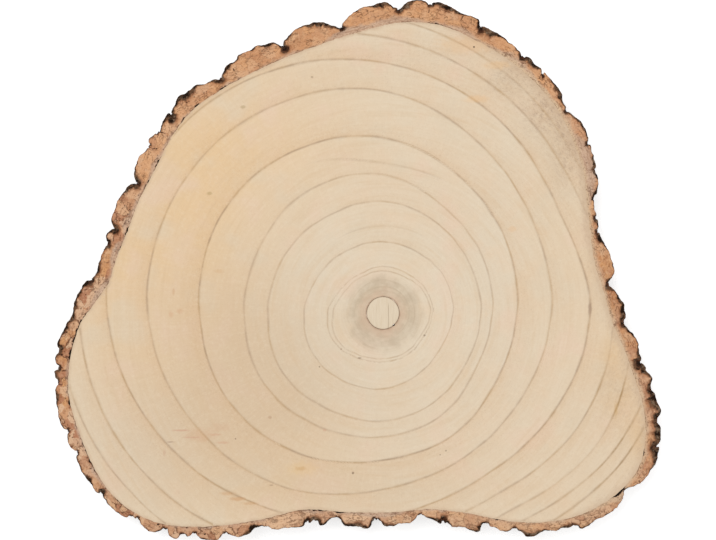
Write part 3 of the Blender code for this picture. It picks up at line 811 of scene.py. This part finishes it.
def plug_material():
    n = Nodes("plug_grain")
    stretched = n.vector("MULTIPLY", n.place, (1, 0.06, 0.06))
    grain = n.noise(0.55, 4, 0.6, at=stretched)
    colour = n.paint(225, 208, 183)
    colour.coat(grain.step(0.35, 0.7), 218, 199, 172)
    x, y, _ = n.split(n.place)
    wander = (n.noise(3, 2) - 0.5) * 0.5
    for middle, wide, share in ((2.7, 0.32, 0.6), (-3.4, 0.2, 0.18), (5, 0.2, 0.2)):
        gap = n.math("ABSOLUTE", x + wander - middle)
        line = gap.step(0.05, wide, share, 0) * y.step(6.5, 2)
        colour.coat(line, 160, 138, 112)
    flat = n.node("ShaderNodeCombineXYZ", {0: x, 1: y})
    radius = n.vector("LENGTH", flat, output="Value")
    colour.coat(radius.step(PLUG_RADIUS - 0.7, PLUG_RADIUS, 0, 0.45), 172, 138, 108)
    roughness = grain.step(0.3, 0.7, 0.76, 0.66)
    return n.finish(colour, roughness, WOOD_SPECULAR, grain, GRAIN_BUMP, 0.5)


# The bark's shape

# Heights of the rows of corners on the outside, as shares of the way down
WALL_SHARES = (0.012, 0.03, 0.055, 0.085, 0.12, 0.16, 0.2, 0.24, 0.28, 0.32, 0.36, 0.4, 0.44,
               0.48, 0.52, 0.56, 0.6, 0.64, 0.68, 0.72, 0.76, 0.8, 0.84, 0.88, 0.92, 0.955,
               0.985, 1.0)
# Notches of the outline that are narrower than this are bridged to this share of their depth,
# and the bridge is painted dark: crust, and painted shade of the open fissure. They are
# looked for within so many samples of the outline.
NOTCH_WIDTH = 4.2
NOTCH_FILL = 0.72
NOTCH_REACH = 20
# Fissures lie where the bark is this much thinner than within so many samples beside them
FISSURE_DEPTH = 1.2
FISSURE_REACH = 14
# Size of the plates on the outside, across and along the trunk
PLATE_SIZE = np.array((5.0, 5.0, 30.0))
# Room between the corners inside the upper cut face and the lower one
BARK_SPACING = 0.62
UNDERSIDE_SPACING = 1.5


def near_places(points, places):
    """For each point, the largest of the places' widths, faded with the distance."""
    total = np.zeros(len(points))
    for x, y, reach, width in places:
        gap = np.linalg.norm(points - (x, y), axis=1) / reach
        total = np.maximum(total, width * np.exp(-gap ** 2.0))
    return total


def fissure_floors(rim, thickness):
    """Numbers of the places where the outline comes nearest to the wood, between plates."""
    found = []
    for i in range(len(rim)):
        around = thickness[np.arange(i - FISSURE_REACH, i + FISSURE_REACH + 1) % len(rim)]
        if thickness[i] == around.min() and around.max() > thickness[i] + FISSURE_DEPTH:
            found.append(i)
    return found


def notch_shift(rim, away):
    """How each place of the outline moves to bridge a narrow notch, which is then painted dark:
    crust and painted shade.
    """
    target = rim.copy()
    best = np.zeros(len(rim))
    for k in range(2, NOTCH_REACH):
        before, after = np.roll(rim, k, axis=0), np.roll(rim, -k, axis=0)
        middle = (before + after) / 2
        lift = ((middle - rim) * away).sum(1)
        better = (np.linalg.norm(after - before, axis=1) < NOTCH_WIDTH) & (lift > best)
        target[better] = middle[better]
        best[better] = lift[better]
    return (target - rim) * NOTCH_FILL


def bark_shape(outlines, seam):
    upper_outline = outlines[max(outlines)][0]
    lower_outline = under(outlines[min(outlines)][0], upper_outline)
    rim = sampled(np.stack((upper_outline, lower_outline)), RIM_SAMPLES)
    away = outward(rim[0], 4)
    shift = untangled(rim[0] + notch_shift(rim[0], away)) - rim[0]
    filled = np.linalg.norm(shift, axis=1)
    loose = 1 - eased(filled, 0.2, 1.0)
    edge = rim[0] + shift
    knobbly = 0.3 + 0.7 * eased(-edge[:, 0], 20.0, 90.0)
    jag = noise_at(edge, 2.1) * 0.4 + noise_at(edge, 0.8, offset=9.0) * 0.16
    jag += noise_at(edge, 4.4, offset=14.0) * 0.75 * knobbly + 0.16
    jag *= loose
    jagged = untangled(edge + away * jag[:, None])
    jog = jagged - edge
    edge = jagged
    thickness, _ = distances(edge, seam)
    crust = 0.13 + 0.75 * np.maximum(noise_at(edge, 5.0, octaves=2), 0.0)
    crust += near_places(edge, CRUST_PLACES) * (1.25 + 0.8 * noise_at(edge, 1.6, offset=11.0))
    # Bridged notches get crust colour, which also stands as painted shade of the fissure under
    # them.
    crust = np.maximum(crust, 0.65 * filled + 0.25 * eased(filled, 0.1, 0.5))
    crust = np.clip(crust, 0.08, np.maximum(thickness * 0.7, 0.2))
    chip = 0.15 + 0.55 * crust + 0.25 * np.abs(noise_at(edge, 2.5, offset=4.0))
    shape = Shape("crust", "seam", "dark", "relief", "inner")

    # The upper cut face
    inner_open = near_places(seam, OPEN_SEAMS)
    inner_open *= 0.55 + 0.9 * noise_at(seam, 1.3, offset=2.0)
    inner_open = np.minimum(inner_open, 0.9)
    inner = seam + outward(seam) * np.maximum(inner_open, 0.0)[:, None]
    points = scattered(edge, BARK_SPACING)
    points = points[inside(points, edge)]
    points = points[~inside(points, seam)]
    rim_gap, rim_number = distances(points, edge)
    seam_gap, _ = distances(points, inner)
    kept = (rim_gap > BARK_SPACING * 0.45) & (seam_gap > BARK_SPACING * 0.45)
    kept &= ~inside(points, inner)
    points, rim_gap, seam_gap = points[kept], rim_gap[kept], seam_gap[kept]
    rim_number = rim_number[kept]

    def dressed(places, gaps, numbers):
        """Height, crust and painted shade of places on the cut face, in its cracks, pits and
        bridged notches.
        """
        wide = crust[numbers]
        share = np.clip(1 - gaps / wide, 0.0, 1.0)
        drop = chip[numbers] * share ** 1.3
        bumps = noise_at(places, 1.1, offset=5.0) * 0.05 + noise_at(places, 4.0) * 0.06
        # Dark lines from the fissure floors inwards: cracks, partly their own colour and partly
        # painted shade inside them.
        cracks = np.full(len(places), 1e9)
        for i in fissure_floors(edge, thickness):
            start = edge[i]
            _, j = distances(start[None], seam)
            lead = seam[j[0]] - start
            length = np.linalg.norm(lead)
            turn = noise.noise(Vector((*start, 0.0)) / 3) * 1.2
            side = np.array((-lead[1], lead[0])) / length
            finish = start + lead * 0.45 + side * turn * min(length, 4.0) * 0.6
            along = finish - start
            t = np.clip(((places - start) @ along) / (along @ along), 0.0, 1.0)
            gap = np.linalg.norm(places - (start + t[:, None] * along), axis=1)
            cracks = np.minimum(cracks, gap + 0.25 * t)
        cracks_and_shade = 0.62 - 0.62 * eased(cracks, 0.12, 0.7)
        # Pits: dark dots over slight dips, painted shade.
        speck = noise_at(places, 1.25, offset=21.0)
        cluster = noise_at(places, 6.0, offset=31.0)
        hole = eased(speck, 0.42, 0.6) * eased(cluster, 0.05, 0.3)
        hole *= 0.45 + 0.55 * eased(-places[:, 0], 20.0, 90.0)
        cracks_and_shade = np.maximum(cracks_and_shade, hole)
        # Bridged notches are painted dark on the cut face: painted shade of the open fissure.
        bridged = eased(filled[numbers], 0.5, 1.6) * np.clip(1.1 - gaps / wide, 0.0, 1.0)
        cracks_and_shade = np.maximum(cracks_and_shade, bridged)
        mask = np.clip(1 - 0.5 * gaps / wide, 0.0, 1.0)
        return TOP - (drop + 0.5 * cracks_and_shade) + bumps * (1 - share), mask, cracks_and_shade

    z, mask, cracks_and_shade = dressed(points, rim_gap, rim_number)
    fill = shape.add(points, z, crust=mask, seam=seam_gap, dark=cracks_and_shade,
                     relief=noise_at(points, 2.0) * 0.6, inner=near_places(points, INNER_PLACES))
    # The outline is painted dark at crack ends, pits and bridged notches: painted shade.
    edge_top, _, cracks_and_shade = dressed(edge, np.zeros(len(edge)), np.arange(len(edge)))
    edge_row = shape.add(edge, edge_top, seam=thickness,
                         crust=0.45 + 0.55 * eased(crust, 0.12, 0.4),
                         dark=np.maximum(cracks_and_shade * 0.7, 0.6 * eased(filled, 0.4, 1.2)),
                         relief=noise_at(edge, 2.0) * 0.6, inner=near_places(edge, INNER_PLACES))
    # The cut face's edge beside a parted seam is painted dark: painted shade of the gap.
    inner_row = shape.add(inner, TOP, dark=eased(inner_open, 0.12, 0.4),
                          inner=near_places(inner, INNER_PLACES))
    shape.flat(np.concatenate((fill, edge_row, inner_row)), (edge_row, inner_row), True)

    # The outside
    upper = edge_row
    for share in WALL_SHARES:
        z = edge_top * (1 - share)
        base = rim[0] + shift + (rim[1] - rim[0]) * (1 - z / TOP)[:, None]
        places = np.column_stack((base, z))
        lumps = noise_at(places, 4.6, 24.0, octaves=4)
        fine = noise_at(places, 0.95, 1.7, offset=3.0)
        cells = [noise.voronoi(Vector(place / PLATE_SIZE))[0][:2] for place in places]
        border = np.array([b - a for a, b in cells])
        split = 1 - eased(border, 0.02, 0.2)
        relief = 0.75 * lumps + 0.2 * fine - 0.75 * split
        onset = eased(edge_top - z, 0.0, 2.6)
        bulge = np.maximum(relief, 0.0) * 0.42 * eased(edge_top - z, 0.8, 9.0)
        free = np.clip((thickness - 1.2) / 3.0, 0.0, 1.0)
        push = (bulge + np.minimum(relief, 0.0) * free * onset) * loose
        base = untangled(base + away * push[:, None] + jog * (1 - onset)[:, None])
        # The outside below a bridged notch is painted dark: painted shade of the fissure.
        lower = shape.add(base, z, crust=1.0, seam=thickness, relief=relief,
                          dark=0.7 * eased(filled, 0.4, 1.2))
        shape.wall(upper, lower)
        upper = lower

    # The underside and the inside of the ring
    foot = scattered(base, UNDERSIDE_SPACING)
    foot = foot[inside(foot, base) & ~inside(foot, seam)]
    foot_gap, foot_number = distances(foot, base)
    foot_seam, _ = distances(foot, seam)
    kept = (foot_gap > 0.5) & (foot_seam > 0.5)
    foot, foot_gap, foot_seam = foot[kept], foot_gap[kept], foot_seam[kept]
    wide = crust[foot_number[kept]]
    mask = np.clip(1 - 0.5 * foot_gap / wide, 0.0, 1.0)
    under_fill = shape.add(foot, 0.0, crust=mask, seam=foot_seam)
    rows = [inner_row]
    # The bark's side of a parted seam is painted dark for 4.5 mm down, fading below that: painted
    # shade in the gap.
    for depth, share in ((0.5, 0.9), (2.0, 0.55), (4.5, 0.0), (TOP, 0.0)):
        ring = seam + outward(seam) * (np.maximum(inner_open, 0.0) * share)[:, None]
        rows.append(shape.add(ring, TOP - depth, dark=0.0 if depth == TOP else 1.0))
        shape.wall(rows[-1], rows[-2])
    shape.flat(np.concatenate((under_fill, upper, rows[-1])), (upper, rows[-1]), False)
    return shape


# The wood's shape

# The rows of corners on the upper (True) and the lower face: corners in a row, where the rows
# beside each ring line lie, and the room between the others
FACE_ROWS = {True: (620, (-1.8, -0.8, -0.3, 0.0, 0.4, 0.9, 1.9), 2.6),
             False: (300, (-0.8, 0.0, 0.9), 5.0)}
# Within each of these radii, a row keeps one corner in so many
THINNING = ((28, 4), (48, 3), (88, 2))
# The least room between a faint ring and its neighbours, the depth of the groove at a ring
# line, and how far the darker wood reaches outwards from it
RING_ROOM = 2.6
GROOVE = 0.12
BAND_LENGTH = 7.0
# A corner counts as on a ring line up to this distance, and numbers stop at these distances
TOUCH = 1e-4
FAR, NEAR_ENOUGH = 50.0, 9.0


def ring_radius(radii, turns):
    """Radius of a growth ring at angles, smooth between its given radii."""
    radii = np.array(radii)
    place = (turns / math.tau * len(radii)) % len(radii)
    i = place.astype(int)
    share = place - i
    a, b, c, d = (radii[(i + k) % len(radii)] for k in (-1, 0, 1, 2))
    lift = (2 * share ** 3 - 3 * share ** 2 + 1) * b + (3 * share ** 2 - 2 * share ** 3) * c
    bend = ((share ** 3 - 2 * share ** 2 + share) * (c - a) / 2
            + (share ** 3 - share ** 2) * (d - b) / 2)
    return lift + bend


def arc_fade(turns, middle, reach):
    """1 in the middle of an arc, given in degrees, and 0 at its ends."""
    gap = np.abs((np.degrees(turns) - middle + 180) % 360 - 180)
    return 1 - eased(gap, reach * 0.5, reach)


def ring_lines(turns):
    """Radii, line strengths and band strengths of all rings at angles, from the pith outwards."""
    uneven = noise_at(np.stack((np.cos(turns), np.sin(turns)), axis=1) * 6, 1.0)
    radii = [ring_radius(r, turns) + 0.35 * uneven for r, _, _ in RINGS]
    strengths = [np.full(len(turns), line) for _, line, _ in RINGS]
    bands = [np.full(len(turns), band) for _, _, band in RINGS]
    # The tenth ring is pale where it meets the bark at the lower right
    strengths[9] = strengths[9] * (1 - 0.5 * arc_fade(turns, -36, 16))
    # Two faint rings that show at the top only
    for faint, before, line, band, reach in (
            (ring_radius((75, 75, 73, 75, 84, 84, 84, 80, 75, 75, 75, 75), turns), 4, 0.5, 0.3, 30),
            (np.full(len(turns), 43.5), 2, 0.3, 0.2, 34)):
        radii.append(np.clip(faint, radii[before] + RING_ROOM, radii[before + 1] - RING_ROOM))
        strengths.append(line * arc_fade(turns, 90, reach))
        bands.append(band * arc_fade(turns, 90, reach))
    order = np.argsort(np.mean(radii, axis=1))
    return np.array(radii)[order], np.array(strengths)[order], np.array(bands)[order]


def zone(points, level, blobs):
    """How strongly a zone of the wood shows at each point, from 0 to 1."""
    total = np.full(len(points), level)
    for share, x, y, wide, high in blobs:
        across, up = (points[:, 0] - x) / wide, (points[:, 1] - y) / high
        total += share * np.exp(-across ** 2 - up ** 2)
    return np.clip(total, 0, 1)


def wood_numbers(points, seam):
    """The numbers that the wood's material reads, and how deep the rings are worn."""
    turns = np.arctan2(points[:, 1], points[:, 0])
    radius = np.linalg.norm(points, axis=1)
    radii, strengths, bands = ring_lines(turns)
    ahead = radii - radius[None]
    passed = np.where(ahead <= TOUCH, -ahead, FAR)
    coming = np.where(ahead >= -TOUCH, ahead, FAR)
    since, until = passed.min(0), coming.min(0)
    which = np.where(since < until, passed.argmin(0), coming.argmin(0))
    strength = strengths[which, np.arange(len(points))]
    band = (np.where(ahead <= TOUCH, np.exp(ahead / BAND_LENGTH), 0.0) * bands).max(0)
    groove = strength * (np.exp(-(since / 0.55) ** 2) + np.exp(-(until / 0.3) ** 2))
    depth = GROOVE * np.clip(groove, 0, 1) + 0.05 * band
    rim = np.full(len(points), NEAR_ENOUGH)
    outer = radius > 80
    rim[outer] = np.minimum(distances(points[outer], seam)[0], NEAR_ENOUGH)
    numbers = dict(since=np.minimum(since, NEAR_ENOUGH), until=np.minimum(until, NEAR_ENOUGH),
                   strength=strength, band=band, rim=rim)
    for name, (level, blobs) in ZONES.items():
        numbers[name] = zone(points, level, blobs)
    return numbers, depth


def wood_face_points(edge, columns, offsets, row_spacing):
    """Corners in rows that follow the rings, denser beside the ring lines."""
    points = []
    turns = np.arange(columns) * math.tau / columns
    radii = ring_lines(turns)[0]
    rows = []
    hole = PLUG_RADIUS + 0.25
    below = np.full(columns, hole)
    for ring in radii:
        room = ring - below
        for offset in offsets:
            if offset < 0:
                rows.append(ring + np.maximum(offset, -room * 0.35 * (offset / offsets[0])))
        rows.append(ring)
        below = ring
    for ring, above in zip(radii, (*radii[1:], radii[-1] + 12.0)):
        room = above - ring
        for offset in offsets:
            if offset > 0:
                rows.append(ring + np.minimum(offset, room * 0.35 * (offset / offsets[-1])))
    bounds = [np.full(columns, hole)] + list(radii) + [radii[-1] + 40.0]
    for low, high in zip(bounds, bounds[1:]):
        fills = int(max(0, round(float(np.mean(high - low)) / row_spacing) - 2))
        for k in range(fills):
            rows.append(low + (high - low) * (0.5 if fills == 1 else 0.3 + 0.5 * k / (fills - 1)))
    for row in rows:
        step = next((step for limit, step in THINNING if row.mean() < limit), 1)
        points.append(np.stack((row * np.cos(turns), row * np.sin(turns)), axis=1)[::step])
    points = np.concatenate(points)
    points = points[inside(points, edge)]
    gap, _ = distances(points, edge)
    points = points[(gap > 0.45) & (np.linalg.norm(points, axis=1) > hole + 0.4)]
    keys = np.unique(np.round(points / 0.12).astype(int), axis=0, return_index=True)[1]
    return points[np.sort(keys)]


def directions(count):
    """Angles evenly spaced round the pith, and their directions."""
    turns = np.arange(count) * math.tau / count
    return turns, np.stack((np.cos(turns), np.sin(turns)), axis=1)


def wobble(ring):
    """How far the plug's outline stands off a true circle, for directions round it."""
    slow, quick = noise_at(ring * 1.7, 1.0, offset=3.0), noise_at(ring * 6.0, 1.0, offset=8.0)
    return 0.17 * slow + 0.05 * quick


def pinhole(turns):
    """1 at the small gap beside the plug, and 0 away from it."""
    gap = np.abs((np.degrees(turns) - 311.5 + 180) % 360 - 180)
    return np.exp(-(gap / 3.5) ** 2)


def hole_loop():
    """The outline of the hole that the plug stands in."""
    turns, ring = directions(HOLE_SAMPLES)
    radius = PLUG_RADIUS + 0.05 + 0.05 * noise_at(ring * 5, 1.0) + wobble(ring)
    return ring * (radius + 0.4 * pinhole(turns))[:, None]


def wood_shape(seam):
    shape = Shape("since", "until", "strength", "band", "warm", "deep", "speckle", "rim")
    hole = hole_loop()
    rows = {}
    for is_top in (True, False):
        points = wood_face_points(seam, *FACE_ROWS[is_top])
        sign = -1.0 if is_top else 1.0
        level = TOP if is_top else 0.0
        parts = []
        for number, places in enumerate((points, seam, hole)):
            numbers, depth = wood_numbers(places, seam)
            wave = 0.03 * noise_at(places, 14.0) + 0.012 * noise_at(places, 2.5)
            lift = depth + 0.03 + wave if number == 0 else np.full(len(places), 0.03)
            if number == 2:
                lift = lift + 0.12
            parts.append(shape.add(places, level + sign * lift, **numbers))
        shape.flat(np.concatenate(parts), parts[1:], is_top)
        rows[is_top] = parts
    for part, is_outer in ((1, True), (2, False)):
        above = rows[True][part]
        loop = seam if is_outer else hole
        for height in (TOP * 0.75, TOP * 0.5, TOP * 0.25):
            numbers, _ = wood_numbers(loop, seam)
            row = shape.add(loop, height, **numbers)
            shape.wall(*((above, row) if is_outer else (row, above)))
            above = row
        below = rows[False][part]
        shape.wall(*((above, below) if is_outer else (below, above)))
    return shape


# The plug's shape

def plug_shape():
    shape = Shape()
    turns, ring = directions(HOLE_SAMPLES)
    outer = PLUG_RADIUS - 0.06 + wobble(ring) - 0.55 * pinhole(turns)

    profile = ((0.965, TOP - 0.02), (0.99, TOP - 0.12), (1.0, TOP - 0.4), (1.0, TOP * 0.66),
               (1.0, TOP * 0.33), (1.0, 0.4), (0.99, 0.12), (0.965, 0.02))
    made = [shape.add(ring * (outer * share)[:, None], height) for share, height in profile]
    for upper, lower in zip(made, made[1:]):
        shape.wall(upper, lower)
    for is_top, border in ((True, made[0]), (False, made[-1])):
        field = scattered(ring * PLUG_RADIUS, 0.55)
        field = field[np.linalg.norm(field, axis=1) < PLUG_RADIUS * 0.88]
        ripple = 0.02 * noise_at(field * (1.0, 0.08), 0.7) + 0.02
        height = TOP - ripple if is_top else ripple
        fill = shape.add(field, height)
        shape.flat(np.concatenate((fill, border)), (border,), is_top)
    return shape


# The object

bark_outlines = solid_outlines("bark")
seam_loop = bark_outlines[max(bark_outlines)][1]
seam_loop = sampled(seam_loop[None], SEAM_SAMPLES)[0]
ragged = 0.3 * noise_at(seam_loop, 3.4, octaves=3) + 0.1 * noise_at(seam_loop, 0.9, offset=5.0)
seam_loop = seam_loop + outward(seam_loop, 4) * (ragged - SEAM_GAP)[:, None]

bark = bark_shape(bark_outlines, seam_loop).piece("trunk_bark", bark_material(), 50)
wood = wood_shape(seam_loop).piece("trunk_wood", wood_material(), 35)
plug = plug_shape().piece("pith_filling", plug_material(), 40)
for made, node in ((bark, "bark"), (wood, "wood"), (plug, "pith_plug")):
    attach(made, "root")
    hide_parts(node)


# The stage

def make_floor():
    mesh = bpy.data.meshes.new("floor")
    corners = [(x * FLOOR_SIZE, y * FLOOR_SIZE, FLOOR_LEVEL)
               for x, y in ((-1, -1), (1, -1), (1, 1), (-1, 1))]
    mesh.from_pydata(corners, [], [(0, 1, 2, 3)])
    material = bpy.data.materials.new("pale_floor")
    material.use_nodes = True
    shader = material.node_tree.nodes["Principled BSDF"]
    for key, value in (("Base Color", (FLOOR_GREY, FLOOR_GREY, FLOOR_GREY, 1.0)),
                       ("Roughness", 0.9), ("Specular IOR Level", 0.0),
                       ("Emission Color", (1.0, 1.0, 1.0, 1.0)),
                       ("Emission Strength", FLOOR_GLOW)):
        shader.inputs[key].default_value = value
    mesh.materials.append(material)
    placed("floor", mesh)


def make_light(name, place, size, power):
    data = bpy.data.lights.new(name, "AREA")
    data.shape = "DISK"
    data.size = size
    data.energy = power
    light = placed(name, data)
    light.location = place
    light.rotation_mode = "QUATERNION"
    light.rotation_quaternion = (-Vector(place)).to_track_quat("-Z", "Y")


def make_world():
    """Plain white to the camera, and softer light on things."""
    world = bpy.data.worlds.new("studio")
    world.use_nodes = True
    tree = world.node_tree
    background = tree.nodes["Background"]
    background.inputs["Color"].default_value = (1.0, 1.0, 1.0, 1.0)
    path = tree.nodes.new("ShaderNodeLightPath")
    strength = tree.nodes.new("ShaderNodeMapRange")
    strength.inputs["To Min"].default_value = WORLD_LIGHT
    tree.links.new(path.outputs["Is Camera Ray"], strength.inputs["Value"])
    tree.links.new(strength.outputs[0], background.inputs["Strength"])
    bpy.context.scene.world = world


def make_camera():
    data = bpy.data.cameras.new("camera")
    data.sensor_width = SENSOR
    data.lens = SENSOR * CAMERA_HEIGHT / PICTURE_WIDTH
    camera = placed("camera", data)
    x, y = (np.array(PICTURE_MIDDLE) + PITH) * MM
    camera.location = (x, y, (TOP + CAMERA_HEIGHT) * MM)
    bpy.context.scene.camera = camera


make_floor()
for name, settings in LIGHTS.items():
    make_light(name, *settings)
make_world()
make_camera()
bpy.context.scene.view_settings.view_transform = "Standard"
